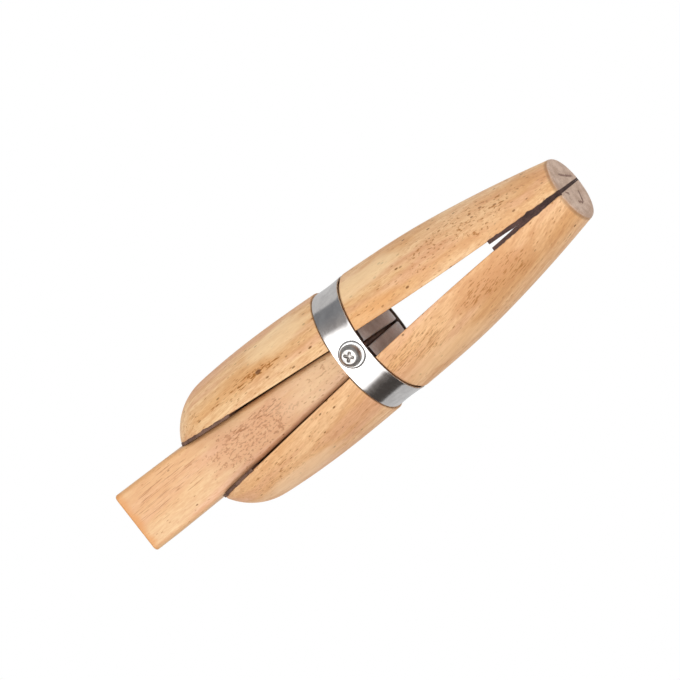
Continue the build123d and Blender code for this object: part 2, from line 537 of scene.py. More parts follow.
# A patch has a centre, a half size, the tint of its ground and that tint's strength. Where it has marks, the
# size of one stroke, their density and their strength follow.
leftWood = dict(
    grainTurnDeg=(0, 2, -3),
    pith=(0, -62, 30),
    ringWidth=3.1,
    ringWander=9.0,
    poreShare=0.26,
    boldPoreShare=0.19,
    boldPoreCount=0.95,
    pale=tone(245, 208, 158),
    deep=tone(226, 174, 116),
    late=tone(198, 132, 76),
    pink=tone(228, 174, 136),
    pore=tone(164, 102, 34),
    boldPore=tone(132, 84, 24),
    # painted shade in the groove, under and beside the band
    bandShade=tone(110, 68, 42),
    patches=(
        ((-34.0, 12.4, 15.0), (28, 2.8, 14), tone(234, 174, 108), 0.1, (4.4, 0.6, 0.6), 0.21, 1.0),
        ((-26.5, 12.5, 16.0), (7.0, 1.6, 14), tone(214, 146, 82), 0.25, (1.6, 0.6, 0.6), 0.3, 1.0),
        ((-26.6, 12.3, 16.0), (1.2, 0.75, 14), tone(100, 56, 22), 0.85),
        ((46.0, 9.5, 10.0), (34, 8.5, 16), tone(222, 166, 122), 0.3, (1.5, 0.75, 0.75), 0.21, 0.85),
        ((12.0, 15.5, 12.0), (20, 4.0, 14), tone(250, 218, 170), 0.6),
        ((-17.0, 16.5, 12.0), (15, 4.4, 14), tone(252, 220, 172), 0.55),
        ((10.0, 7.5, 18.0), (14, 3.4, 14), tone(228, 162, 96), 0.45, (1.4, 0.6, 0.6), 0.18, 0.85),
    ),
    crack=tone(104, 50, 20),
    endGrain=tone(216, 187, 166),
    endGrainDark=tone(186, 152, 128),
    endBorder=tone(130, 90, 58),
    cracks=(((77, 5.1, 1.9), (77, 3.6, -3.0)), ((77, 3.6, -3.0), (77, 2.6, -6.5))),
)

rightWood = dict(
    leftWood,
    grainTurnDeg=(0, 3, -11),
    pith=(40, 56, 30),
    ringWidth=2.7,
    ringWander=8.0,
    boldPoreShare=0.15,
    boldPoreCount=0.6,
    pale=tone(242, 198, 148),
    deep=tone(224, 170, 114),
    late=tone(194, 128, 74),
    cracks=(
        ((77, -2.0, -3.4), (77, -4.4, -1.6)),
        ((77, -4.4, -1.6), (77, -5.2, 0.4)),
        ((77, -5.2, 0.4), (77, -4.6, 2.4)),
        ((77, 0.0, 6.8), (77, -0.9, 5.2)),
    ),
    patches=(
        ((15.0, -9.5, 16.0), (18, 6.5, 16), tone(238, 188, 134), 0.25, (2.6, 0.36, 0.36), 0.25, 0.65),
        ((46.0, -7.0, 14.0), (22, 6.0, 16), tone(208, 148, 95), 0.68, (2.6, 0.45, 0.45), 0.25, 0.72),
        ((-38.0, -14.0, 14.0), (24, 5.5, 16), tone(234, 178, 124), 0.25, (2.4, 0.5, 0.5), 0.22, 0.7),
        ((20.0, -15.5, 12.0), (22, 3.4, 14), tone(244, 200, 150), 0.5),
        ((-36.0, -18.5, 8.0), (20, 3.2, 14), tone(246, 208, 166), 0.5),
    ),
)

wedgeWood = dict(
    leftWood,
    grainTurnDeg=(0, 2, -2),
    pith=(80, 70, 24),
    ringWidth=3.2,
    ringWander=6.0,
    poreShare=0.2,
    boldPoreShare=0.13,
    boldPoreCount=0.45,
    pale=tone(233, 196, 146),
    deep=tone(220, 172, 120),
    late=tone(206, 146, 100),
    pink=tone(228, 176, 144),
    pore=tone(166, 106, 54),
    boldPore=tone(140, 90, 44),
    patches=(
        ((-42.0, -0.8, 12.7), (25, 8.5, 14), tone(210, 150, 108), 0.55, (1.15, 0.68, 0.68), 0.28, 0.7),
        ((-38.0, 2.2, 12.7), (20, 2.4, 14), tone(214, 156, 112), 0.2, (2.6, 0.6, 0.6), 0.27, 1.0),
        ((-72.0, 1.5, 12.7), (20, 9.5, 14), tone(226, 174, 120), 0.3, (16.0, 0.3, 0.3), 0.24, 0.75),
        ((-87.0, 0.0, 12.7), (4, 20, 24), tone(214, 146, 80), 0.75),
        ((-14.0, 0.0, 12.7), (20, 9, 14), tone(252, 220, 178), 0.3, (2.0, 0.6, 0.6), 0.2, 0.6),
    ),
)

woodFinish = dict(
    patches=(0.36, 0.64),
    blushFineness=(0.015, 0.16, 0.16),
    blush=(0.5, 0.66),
    blushStrength=0.7,
    ringStrength=0.32,
    fibre=(0.38, 0.64),
    fibreStrength=0.5,
    tickStrength=0.42,
    poreStrength=0.8,
    boldPoreStrength=1.25,
    pitDepth=0.4,
    roughFibre=(0.2, 0.8),
    roughness=(0.4, 0.55),
    bump=0.3,
    shine=0.5,
)


def makeWood(name, look, endX=None):
    material, tree = newMaterial(name)
    finish = woodFinish
    position = millimetres(tree)
    grain = millimetres(tree, look["grainTurnDeg"], look["pith"])
    inputs = {
        "Position": grain,
        "Ring Width": look["ringWidth"],
        "Ring Wander": look["ringWander"],
        "Pore Share": look["poreShare"],
        "Bold Pore Share": look["boldPoreShare"],
        "Bold Pore Count": look["boldPoreCount"],
    }
    masks = place(woodFigure, inputs)
    warm = step(masks["Patches"], *finish["patches"])
    blush = cloud(grain, finish["blushFineness"], detail=3.0)
    colour = blend(warm, look["pale"], look["deep"])
    layers = (
        (step(blush, *finish["blush"], to=(0, finish["blushStrength"])), "pink"),
        (times(masks["Rings"], finish["ringStrength"]), "late"),
        (step(masks["Fibre"], *finish["fibre"], to=(0, finish["fibreStrength"])), "late"),
        (times(masks["Ticks"], finish["tickStrength"]), "late"),
        (times(masks["Pores"], finish["poreStrength"]), "pore"),
        (maths("MULTIPLY", masks["Bold Pores"], finish["boldPoreStrength"], clamp=True), "boldPore"),
    )
    for amount, key in layers:
        colour = blend(amount, colour, look[key])
    for centre, halfSize, tint, tintStrength, *marks in look["patches"]:
        inputs = {"Strokes": grain, "Position": position, "Centre": centre, "Half Size": halfSize}
        inputs.update(zip(("Stroke", "Density"), marks))
        patch = place(fleckPatch, inputs)
        colour = blend(times(patch["Area"], tintStrength), colour, tint)
        if marks:
            colour = blend(times(patch["Flecks"], marks[2]), colour, look["pore"])
    if endX is not None:
        # painted shade under the band, then the end grain
        colour = shadeUnderBand(position, colour, look)
        colour = endGrainOver(position, colour, look, endX)
    pits = maths("MAXIMUM", masks["Pores"], masks["Bold Pores"])
    pits = times(pits, finish["pitDepth"])
    height = maths("SUBTRACT", masks["Fibre"], pits)
    rough = step(masks["Fibre"], *finish["roughFibre"], to=finish["roughness"])
    values = {"Base Color": colour, "Roughness": rough, "Specular IOR Level": finish["shine"]}
    return finishMaterial(material, values, height, finish["bump"])


groove = dict(
    floor=18.9,
    sideGap=0.16,
    edge=0.14,
    edgeRows=3,
    # painted shade under and beside the band: how strong, where it fades, and how much stays above the band
    bandShadeStrength=0.8,
    bandShadeFade=(-0.02, 0.08),  # past the shoulder
    bandShadeDepth=(-0.4, 0.3),  # about the band's outer radius
    bandShadeOnTop=0.2,
)
shoulder = bandHalf + groove["sideGap"]


# Painted shade: the wood in the groove is darkened under the band and on the groove's walls, a little above
# the band too.
def shadeUnderBand(position, colour, look):
    low, high = groove["bandShadeFade"]
    x = maths("ABSOLUTE", splitUp(position)[0])
    fade = (groove["bandShadeStrength"], 0)
    bandShadeMask = step(x, shoulder + low, shoulder + high, to=fade)
    low, high = groove["bandShadeDepth"]
    reach = fromAxis(position)
    fade = (1, groove["bandShadeOnTop"])
    covered = step(reach, bandRadius + low, bandRadius + high, to=fade)
    bandShadeMask = times(bandShadeMask, covered)
    return blend(bandShadeMask, colour, look["bandShade"])


endGrain = dict(
    raggedFineness=(0.3, 0.7, 0.7),
    raggedDepth=0.5,
    border=(-1.5, -0.6),  # from the end face, where the wood darkens before it
    borderStrength=0.55,
    face=(-0.45, -0.05),
    speckleFineness=(0.8, 2.0, 2.0),
    broadFineness=(0.3, 0.28, 0.28),
    mottle=(0.4, 0.6),
)


def endGrainOver(position, colour, look, endX):  # greyer wood where the barrel is cut across
    ragged = cloud(position, endGrain["raggedFineness"], detail=3.0, rough=0.6)
    ragged = times(ragged, endGrain["raggedDepth"])
    depth = maths("ADD", splitUp(position)[0], ragged)
    low, high = (endX + reach for reach in endGrain["border"])
    border = step(depth, low, high, to=(0, endGrain["borderStrength"]))
    colour = blend(border, colour, look["endBorder"])
    low, high = (endX + reach for reach in endGrain["face"])
    face = step(depth, low, high)
    speckle = cloud(position, endGrain["speckleFineness"], detail=4.0, rough=0.7)
    broad = cloud(position, endGrain["broadFineness"])
    mottled = step(average(speckle, broad), *endGrain["mottle"])
    endColour = blend(mottled, look["endGrain"], look["endGrainDark"])
    for start, end in look["cracks"]:
        inputs = {"Position": position, "Start": start, "End": end, "Half Width": crack["halfWidth"]}
        endColour = blend(place(crackLine, inputs)["Line"], endColour, look["crack"])
    return blend(face, colour, endColour)


jaws = dict(
    tailSeatHalfGap=4.7,  # saw cut at the band, one side
    noseSeatHalfGap=4.5,
    noseMid=(34.6, 2.3),
    noseHalfGap=0.48,
    tailReliefDeg=5.2,
    sawSplayDeg=0.6,
    edge=0.38,  # how far the sawn edges are sanded round
    edgeShare=0.42,  # of what is left of the radius, at most
    leastEdge=1e-4,
    tailEasing=0.15,
    noseEasing=0.8,
    sawnNoseEasing=0.25,
    turnedFrom=1.8,  # past the band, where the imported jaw's turned side is read
    turnedStep=0.6,
    readShortOf=0.05,  # the easing at the nose
    tipWithin=(-1, 12),  # where the dome's tip is looked for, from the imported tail
    halvings=50,
    arcSteps=72,
    edgeSteps=5,
    sawSteps=16,
    tailEasingRows=4,
    tailRows=70,
    tailRowBias=1.6,  # rows lie closer on the dome
    grooveRows=8,
    noseRows=76,
    noseEasingRows=7,
    shoulderStep=0.3,  # from the groove's edge to the next row
    rimReadAt=0.3,  # into the easing, where the rim's radius is read
    slantRun=6,  # the slant fades over this part of the nose
    noseRings=(0.93, 0.8, 0.6, 0.4, 0.2, 0),  # rows of the end face, as shares of its outline
    sawnFacing=0.93,  # how squarely a face looks at the cut to count as sawn
)


def readProfile(node):  # the turned radius along the barrel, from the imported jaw
    noseLimit = jawHigh.x - jaws["noseEasing"] - jaws["readShortOf"]
    rows = {}
    for vertex in frame["nodes"][node].data.vertices:
        point = (vertex.co - pivot) / mm
        if bandHalf + jaws["turnedFrom"] < abs(point.x) and point.x < noseLimit:
            row = round(point.x, 1)
            rows[row] = max(rows.get(row, (0, 0)), (hypot(point.y, point.z), point.x))
    samples = []
    for radius, x in (rows[row] for row in sorted(rows)):
        if not samples or x - samples[-1][0] > jaws["turnedStep"]:
            samples.append((x, radius))
    return samples


profile = readProfile("left_jaw")


def slopeAt(k):
    (xa, ra), (xb, rb), (xc, rc) = profile[k - 1 : k + 2]
    left = (rb - ra) / (xb - xa)
    right = (rc - rb) / (xc - xb)
    return (left * (xc - xb) + right * (xb - xa)) / (xc - xa)


slopes = [slopeAt(k) for k in range(1, len(profile) - 1)]
slopes = [slopes[0], *slopes, slopes[-1]]


def turnedRadius(x):  # a smooth line through the rows, and straight on past both ends
    k = min(max(bisect.bisect(profile, (x, inf)) - 1, 0), len(profile) - 2)
    (xa, ra), (xb, rb) = profile[k : k + 2]
    slopeA, slopeB = slopes[k : k + 2]
    if x < xa:
        return ra + slopeA * (x - xa)
    if x > xb:
        return rb + slopeB * (x - xb)
    width = xb - xa
    t = (x - xa) / width
    ends = ra * (1 + 2 * t) * (1 - t) ** 2 + rb * t * t * (3 - 2 * t)
    return ends + width * t * (1 - t) * (slopeA * (1 - t) - slopeB * t)


def circleThrough(first, second, third):
    (ax, ay), (bx, by), (cx, cy) = first, second, third
    d = 2 * (ax * (by - cy) + bx * (cy - ay) + cx * (ay - by))
    a, b, c = ax * ax + ay * ay, bx * bx + by * by, cx * cx + cy * cy
    x = (a * (by - cy) + b * (cy - ay) + c * (ay - by)) / d
    y = (a * (cx - bx) + b * (ax - cx) + c * (bx - ax)) / d
    return x, y, hypot(ax - x, ay - y)


bandEnd = (bandHalf, jaws["noseSeatHalfGap"])
hollow = circleThrough(bandEnd, jaws["noseMid"], (jawHigh.x, jaws["noseHalfGap"]))


def sawnHalfGap(x):  # from the parting plane to the jaw's sawn face
    if x > bandHalf:
        centreX, centreY, radius = hollow
        return centreY - copysign(sqrt(radius**2 - (x - centreX) ** 2), centreY)
    if x > -bandHalf:
        share = (x + bandHalf) / bandHalf / 2
        return jaws["tailSeatHalfGap"] + (jaws["noseSeatHalfGap"] - jaws["tailSeatHalfGap"]) * share
    return jaws["tailSeatHalfGap"] + (-bandHalf - x) * tan(radians(jaws["tailReliefDeg"]))


settlingRounds = 3  # enough for a place that depends on itself to settle


# A face along the cut, as q = a + b z, where q is Y counted towards the jaw
def lineAt(x, side, halfGap, splayDeg):
    b = tan(radians(splayDeg))
    local = x
    for _ in range(settlingRounds):
        y = side * halfGap(local) / cos(radians(splayDeg))
        local = (x + y * sin(skew)) / cos(skew)
    return side * (local * sin(skew) + y * cos(skew)), b


def sawnLine(x, side):
    return lineAt(x, side, sawnHalfGap, jaws["sawSplayDeg"])


def turnFrom(first, second, share):  # a direction part of the way between two others
    angle = first.angle(second)
    return (first * sin((1 - share) * angle) + second * sin(share * angle)) / sin(angle)


def jawLoop(x, radius, side, slant=0, sawX=None, sawInset=0):
    a, b = sawnLine(x, side)
    long = hypot(1, b)
    normal = Vector((1, -b)) / long
    along = Vector((b, 1)) / long
    start = a / long + sawInset
    edge = max(min(jaws["edge"], jaws["edgeShare"] * (radius - start)), jaws["leastEdge"])
    half = sqrt(max((radius - edge) ** 2 - (start + edge) ** 2, 0))
    centres = [normal * (start + edge) + along * half * sign for sign in (1, -1)]
    rims = [centre.normalized() for centre in centres]
    feet = [centre - normal * edge for centre in centres]
    sawX = x if sawX is None else sawX

    def edgePoint(end, share):  # on the sanded edge, from the barrel's side round to the sawn face
        point = centres[end] + turnFrom(rims[end], -normal, share) * edge
        return x + (sawX - x) * share, point.x, point.y

    top, bottom = (atan2(rim.y, rim.x) for rim in rims)
    loop = [(x, radius * cos(angle), radius * sin(angle)) for angle in spread(top, bottom, jaws["arcSteps"])]
    shares = spread(0, 1, jaws["edgeSteps"])[1:]
    loop += [edgePoint(1, share) for share in shares]
    flat = [feet[1].lerp(feet[0], share) for share in spread(0, 1, jaws["sawSteps"])[1:-1]]
    loop += [(sawX, point.x, point.y) for point in flat]
    loop += [edgePoint(0, share) for share in reversed(shares)]
    return [(px + slant * q * openTan, side * q, z) for px, q, z in loop]


def tailTip(side):  # where the dome comes down to the sawn face, by halving
    low, high = (jawLow.x + reach for reach in jaws["tipWithin"])
    for _ in range(jaws["halvings"]):
        x = (low + high) / 2
        if turnedRadius(x) > sawnLine(x, side)[0]:
            high = x
        else:
            low = x
    return max(high, jawLow.x)


def turnedLoop(x, side, drop=0, slant=0):
    return jawLoop(x, turnedRadius(x) - drop, side, slant)


def tailLoops(side):
    tip = tailTip(side)
    start = tip + jaws["tailEasing"]
    run = -shoulder - jaws["shoulderStep"] - start
    rounding = quarterRound(jaws["tailEasing"], jaws["tailEasingRows"])[1:]
    loops = [turnedLoop(tip + past, side, drop) for past, drop in reversed(rounding)]
    for share in spread(0, 1, jaws["tailRows"]):
        loops.append(turnedLoop(start + run * share ** jaws["tailRowBias"], side))
    return shrunk(loops[0], (0,)) + loops


def grooveLoops(side):
    rounding = quarterRound(groove["edge"], groove["edgeRows"])
    loops = [turnedLoop(-shoulder - past, side, drop) for past, drop in rounding]
    for x in spread(-shoulder, shoulder, jaws["grooveRows"]):
        loops.append(jawLoop(x, groove["floor"], side, max(0, x / shoulder)))
    return loops + [turnedLoop(shoulder + past, side, drop, 1) for past, drop in reversed(rounding)]


def noseLoops(side):
    start, end = shoulder + jaws["shoulderStep"], jawHigh.x - jaws["noseEasing"]
    loops = []
    for share in spread(0, 1, jaws["noseRows"])[1:]:
        slant = max(0, 1 - share * jaws["slantRun"])
        loops.append(turnedLoop(start + (end - start) * share, side, 0, slant))
    rim = turnedRadius(end + jaws["rimReadAt"])
    sawnShare = jaws["sawnNoseEasing"] / jaws["noseEasing"]
    for past, drop in quarterRound(jaws["noseEasing"], jaws["noseEasingRows"])[1:]:
        sawX = jawHigh.x - past * sawnShare
        loops.append(jawLoop(jawHigh.x - past, rim - drop, side, 0, sawX, drop * sawnShare))
    return loops + shrunk(loops[-1], jaws["noseRings"])


def makeJaw(name, side, material, sawnMaterial):
    def isSawn(centre, normal):
        return side * normal.y < -jaws["sawnFacing"] and centre.x < -bandHalf

    item = skin(name, tailLoops(side) + grooveLoops(side) + noseLoops(side), material)
    refinish(item, sawnMaterial, isSawn)
    return item


def sawn(look):  # the same wood, darker, on the sawn faces inside the cut
    return dict(
        look,
        pale=tone(176, 136, 96),
        deep=tone(158, 116, 78),
        late=tone(130, 90, 58),
        pink=tone(160, 118, 86),
    )


for (label, side), look in zip(sides, (leftWood, rightWood)):
    wood = makeWood(label + "JawWood", look, jawHigh.x)
    inner = makeWood(label + "SawnWood", sawn(look), jawHigh.x)
    seat(makeJaw(label + "Jaw", side, wood, inner), label + "_jaw", "jaw_wood", label + "_jaw")
print("jaws turned and sawn")


# Wedge

wedge = dict(
    tipX=-5.5,
    tipThickness=9.2,
    halfAngleDeg=4.6,
    taperEndX=-66.5,
    buttX=-86.2,
    buttThickness=19.7,
    longEasing=1.5,
    endEasing=0.7,
    leastCorner=0.3,
    cornerSteps=6,
    sideSteps=10,
    endRows=6,
    lengthRows=80,
    endRings=(0.9, 0.6, 0.3, 0),
)


def wedgeTaper(x):
    return wedge["tipThickness"] / 2 + (wedge["tipX"] - x) * tan(radians(wedge["halfAngleDeg"]))


def wedgeHalf(x):
    if x > wedge["taperEndX"]:
        return wedgeTaper(x)
    end = wedgeTaper(wedge["taperEndX"])
    share = (wedge["taperEndX"] - x) / (wedge["taperEndX"] - wedgeLow.x)
    return end + (wedge["buttThickness"] / 2 - end) * share


def roundedBox(halfY, halfZ, radius, cornerSteps, sideSteps):  # a loop with round corners
    inner = Vector((halfY - radius, halfZ - radius))
    centres = [inner * Vector(signs) for signs in ((1, 1), (-1, 1), (-1, -1), (1, -1))]
    loop = []
    for k, centre in enumerate(centres):
        for share in spread(0, 1, cornerSteps):
            angle = pi / 2 * (k + share)
            loop.append(centre + Vector((cos(angle), sin(angle))) * radius)
        start = loop[-1]
        end = start + centres[(k + 1) % 4] - centre
        loop += [start.lerp(end, share) for share in spread(0, 1, sideSteps)[1:-1]]
    return loop


def wedgeLoop(x, inset):
    halfZ = (wedgeHigh.z - wedgeLow.z) / 2
    radius = max(wedge["longEasing"] - inset, wedge["leastCorner"])
    flat = roundedBox(wedgeHalf(x) - inset, halfZ - inset, radius, wedge["cornerSteps"], wedge["sideSteps"])
    turned = []
    for y, z in flat:
        turned.append((x * cos(skew) - y * sin(skew), x * sin(skew) + y * cos(skew), z))
    return turned


def makeWedge():
    easing, tip, butt = wedge["endEasing"], wedge["tipX"], wedge["buttX"]
    rounding = quarterRound(easing, wedge["endRows"])
    loops = [wedgeLoop(tip - past, drop) for past, drop in reversed(rounding)]
    loops = shrunk(loops[0], reversed(wedge["endRings"])) + loops
    loops += [wedgeLoop(x, 0) for x in spread(tip - easing, butt + easing, wedge["lengthRows"])[1:-1]]
    loops += [wedgeLoop(butt + past, drop) for past, drop in rounding]
    loops += shrunk(loops[-1], wedge["endRings"])
    return skin("handWedge", loops, makeWood("wedgeWood", wedgeWood))


seat(makeWedge(), "wedge", "wedge_wood", "wedge")
print("wedge planed")


# Leather

leather = dict(
    block=(tone(230, 234, 238), tone(204, 206, 210)),
    tail=(tone(126, 96, 82), tone(78, 54, 44)),
    # painted shade: the tail pads' leather, drawn darker for the nose pads deep in their narrow gap
    nose=(tone(92, 68, 62), tone(48, 33, 30)),
    napFineness=(2.2, 2.2, 2.2),
    nap=(0.3, 0.7),  # values of the noise between which a look changes over
    broadFineness=(0.25, 0.25, 0.25),
    worn=(0.35, 0.65),
    roughness=(0.72, 0.9),
    bump=0.5,
    shine=0.25,
    rimShade=tone(64, 50, 45),  # painted shade of the band, on the rim of the blocks next to it
    rimShadeReach=(0.4, 0.25),  # where the painted shade begins and is full, in from the rim
)


def makeLeather(name, face, dark, rim=None):  # rim is the radius at which a block ends, where the band's shade is painted
    material, tree = newMaterial(name)
    position = millimetres(tree)
    nap = cloud(position, leather["napFineness"], detail=4.0, rough=0.6)
    broad = cloud(position, leather["broadFineness"])
    worn = step(average(nap, broad), *leather["worn"])
    colour = blend(worn, dark, face)
    if rim is not None:
        # painted shade of the band on the block's rim
        start, full = (rim - inset for inset in leather["rimShadeReach"])
        rimShadeMask = step(fromAxis(position), start, full)
        colour = blend(rimShadeMask, colour, leather["rimShade"])
    rough = step(nap, *leather["nap"], to=leather["roughness"])
    values = {"Base Color": colour, "Roughness": rough, "Specular IOR Level": leather["shine"]}
    return finishMaterial(material, values, nap, leather["bump"])


lining = dict(
    step=0.35,  # between rows along the pad
    ragged=0.5,  # how far the cut edges wander
    wander=((0.45, 1.0, 0), (1.4, 0.35, 5)),  # fineness along the pad, strength and seed of two waves
    lip=0.3,
    faceInset=0.1,  # from the jaw's rim to the pad's face
    backStand=0.07,  # how far the glued edge stands out of the wood
    backInset=0.5,
    sideSteps=(4, 1, 18, 1, 4, 18),
)


def liningLoop(x, side, radius, faceLine, backLine, seed):  # a thin pad between two faces of the cut
    (faceA, faceB), (backA, backB) = faceLine, backLine
    waves = lining["wander"]
    wander = sum(share * noise.noise(Vector((x * fine, seed, side + own))) for fine, share, own in waves)
    lip = lining["ragged"] * max(0, lining["lip"] + wander)
    dip = lining["ragged"] * max(0, -wander)

    def onRim(a, b, reachOut, sign):
        long = 1 + b * b
        reach = sqrt(max((radius + reachOut) ** 2 * long - a * a, 0))
        z = (-a * b + sign * reach) / long
        return Vector((a + b * z, z))

    corners = []
    for sign in (1, -1):
        edge = [
            onRim(faceA, faceB, -lining["faceInset"] - dip, sign),
            onRim(backA + lip, backB, lining["backStand"], sign),
            onRim(backA, backB, -lining["backInset"], sign),
        ]
        corners += edge if sign > 0 else reversed(edge)
    loop = []
    for k, steps in enumerate(lining["sideSteps"]):
        for share in spread(0, 1, steps)[:-1]:
            point = corners[k].lerp(corners[(k + 1) % 6], share)
            loop.append((x, side * point.x, point.y))
    return loop


nosePads = dict(
    startX=51.5,
    meetX=59.6,
    startHalfGap=0.6,
    flare=0.7,  # how quickly the pads part
    clearance=0.01,
    setback=0.2,
    seed=3.0,
)
tailPads = dict(clearance=0.1, seed=7.0)


def nosePadFace(x):
    share = min(max((x - nosePads["startX"]) / (nosePads["meetX"] - nosePads["startX"]), 0), 1)
    opening = nosePads["startHalfGap"] - nosePads["clearance"]
    return nosePads["clearance"] + opening * (1 - share) ** nosePads["flare"]


def tailPadFace(x):
    return wedgeHalf(x) + tailPads["clearance"]


def makeLining(name, side, startX, endX, padFace, seed, material):
    loops = []
    for x in spread(startX, endX, round(abs(endX - startX) / lining["step"])):
        faceLine = lineAt(x, side, padFace, 0)
        loops.append(liningLoop(x, side, turnedRadius(x), faceLine, sawnLine(x, side), seed))
    loops = shrunk(loops[0], (0,)) + loops + shrunk(loops[-1], (0,))
    return skin(name, loops, material, sharpDeg=60)


tailLeather = makeLeather("tailLeather", *leather["tail"])
# painted shade: a darker copy of the pad leather for the nose gap
shadedNoseLeather = makeLeather("shadedNoseLeather", *leather["nose"])
noseEnd = jawHigh.x - nosePads["setback"]
for label, side in sides:
    start, seed = nosePads["startX"], nosePads["seed"]
    pad = makeLining(label + "NosePad", side, start, noseEnd, nosePadFace, seed, shadedNoseLeather)
    seat(pad, label + "_jaw", "pad_leather", label + "_nose_pad")
    low, high = boxOf(label + "_tail_pad")
    pad = makeLining(label + "TailPad", side, low.x, high.x, tailPadFace, tailPads["seed"], tailLeather)
    seat(pad, label + "_jaw", "pad_leather", label + "_tail_pad")
print("linings glued")


blocks = dict(
    tailX=-4.0,
    cut=0.75,  # from the parting plane to the face
    splayDeg=1.2,
    rim=17.4,
    grooveRadius=1.85,
    grooveXs=(3.2, 2.5, 1.9, 0.0, -1.9, -2.5, -3.2),
    corner=0.35,
    endEasing=0.4,
    endRows=((0.98, 0.0), (0.995, 0.12), (1.0, 0.3)),  # height and how much of the easing is taken off
    endRings=(0.5, 0),
    middleRows=24,
    middleTo=0.96,
    cornerRows=((0, 0.5), (0, 0.12), (0.35, 0.03), (1, 0.0)),  # in from the end in corner sizes, and depth
)


def blockOutline(inset):  # plan of the block: x and its place between face (0) and back (1)
    low, high = blocks["tailX"] + inset, bandHalf - inset
    corner = [(blocks["corner"] * share, depth) for share, depth in blocks["cornerRows"]]
    outline = [(low, 1.0), (high, 1.0)]
    outline += [(high - past, depth) for past, depth in corner]
    outline += [(x, 0.0) for x in blocks["grooveXs"]]
    return outline + [(low + past, depth) for past, depth in reversed(corner)]


def makeBlock(name, side):
    ends = blocks["endRows"]
    rows = [(-share, inset) for share, inset in reversed(ends)]
    rows += [(share, 0.0) for share in spread(-blocks["middleTo"], blocks["middleTo"], blocks["middleRows"])]
    rows += ends
    loops = []
    for share, inset in rows:
        loop = []
        for x, depth in blockOutline(inset * blocks["endEasing"]):
            faceA, faceB = lineAt(x, side, lambda _: blocks["cut"], blocks["splayDeg"])
            backA, backB = sawnLine(x, side)
            z = share * blocks["rim"]
            for _ in range(settlingRounds):
                q = (faceA + faceB * z) * (1 - depth) + (backA + backB * z) * depth
                z = share * sqrt(blocks["rim"] ** 2 - q * q)
            hollowed = sqrt(max(blocks["grooveRadius"] ** 2 - x * x, 0))
            loop.append((x, side * max(q, hollowed), z))
        loops.append(loop)
    rings = blocks["endRings"]
    loops = shrunk(loops[0], reversed(rings)) + loops + shrunk(loops[-1], rings)
    return skin(name, loops, blockLeather, sharpDeg=50)


blockLeather = makeLeather("blockLeather", *leather["block"], blocks["rim"])
for label, side in sides:
    block = makeBlock(label + "FulcrumPad", side)
    seat(block, label + "_jaw", "pad_leather", label + "_fulcrum_pad")
print("fulcrum blocks cut")


# Plated steel

rubbing = dict(
    hazeFineness=(0.35, 0.35, 0.35),
    haze=(0.3, 0.7),
    lines=(0.3, 0.7),
    bumpDepth=0.02,
)


def makeRubbedMetal():
    group, given = newGroup("rubbedMetal", {"Position": None, "Stretch": (1, 1, 1)})
    return closeGroup(group, {
        "Lines": cloud(given["Position"], given["Stretch"], detail=3.0),
        "Haze": cloud(given["Position"], rubbing["hazeFineness"], detail=3.0),
    })


rubbedMetal = makeRubbedMetal()


def makePlate(name, bright, dull, roughness, stretch, bump):
    material, tree = newMaterial(name)
    inputs = {"Position": millimetres(tree), "Stretch": stretch}
    rubbed = place(rubbedMetal, inputs)
    hazy = step(rubbed["Haze"], *rubbing["haze"])
    colour = blend(hazy, bright, dull)
    rough = step(rubbed["Lines"], *rubbing["lines"], to=roughness)
    values = {"Base Color": colour, "Metallic": 1.0, "Roughness": rough}
    return finishMaterial(material, values, rubbed["Lines"], bump, rubbing["bumpDepth"])


alongBand = (7, 0.15, 0.15)  # rub marks drawn out round the band
allRound = (1.5, 1.5, 1.5)
plates = dict(  # bright and dull tone, roughness, stretch of the rub marks and their depth
    bandPlate=(tone(223, 220, 218), tone(207, 204, 203), (0.1, 0.2), alongBand, 0.12),
    boltPlate=(tone(220, 219, 218), tone(202, 200, 198), (0.24, 0.34), allRound, 0.05),
    headPlate=(tone(200, 196, 193), tone(176, 172, 168), (0.32, 0.44), allRound, 0.05),
    bandEdge=(tone(226, 224, 222), tone(206, 204, 202), (0.5, 0.65), alongBand, 0.1),
    # painted shade: the band's inside is the same plate, drawn dark and brownish as it lies in shade
    bandInsideShade=(tone(96, 84, 78), tone(62, 52, 48), (0.45, 0.6), alongBand, 0.1),
    # painted shade and reflection: the shank's steel drawn brown, like the shaded slit between the blocks
    shankShade=(tone(140, 104, 86), tone(108, 78, 62), (0.45, 0.6), allRound, 0.1),
)
plated = {name: makePlate(name, *look) for name, look in plates.items()}

band = dict(
    thickness=0.6,
    dishMiddle=-0.16,  # rolled strip is a little hollow across its width
    dishEdge=0.06,
    edge=0.13,
    edgeRows=3,
    steps=240,
    acrossSteps=12,
    insideDepth=0.15,  # faces no farther out than this from the inner radius are inside
    edgeFacing=0.5,
)


def dish(x):
    return band["dishMiddle"] + (band["dishEdge"] - band["dishMiddle"]) * (x / bandHalf) ** 2


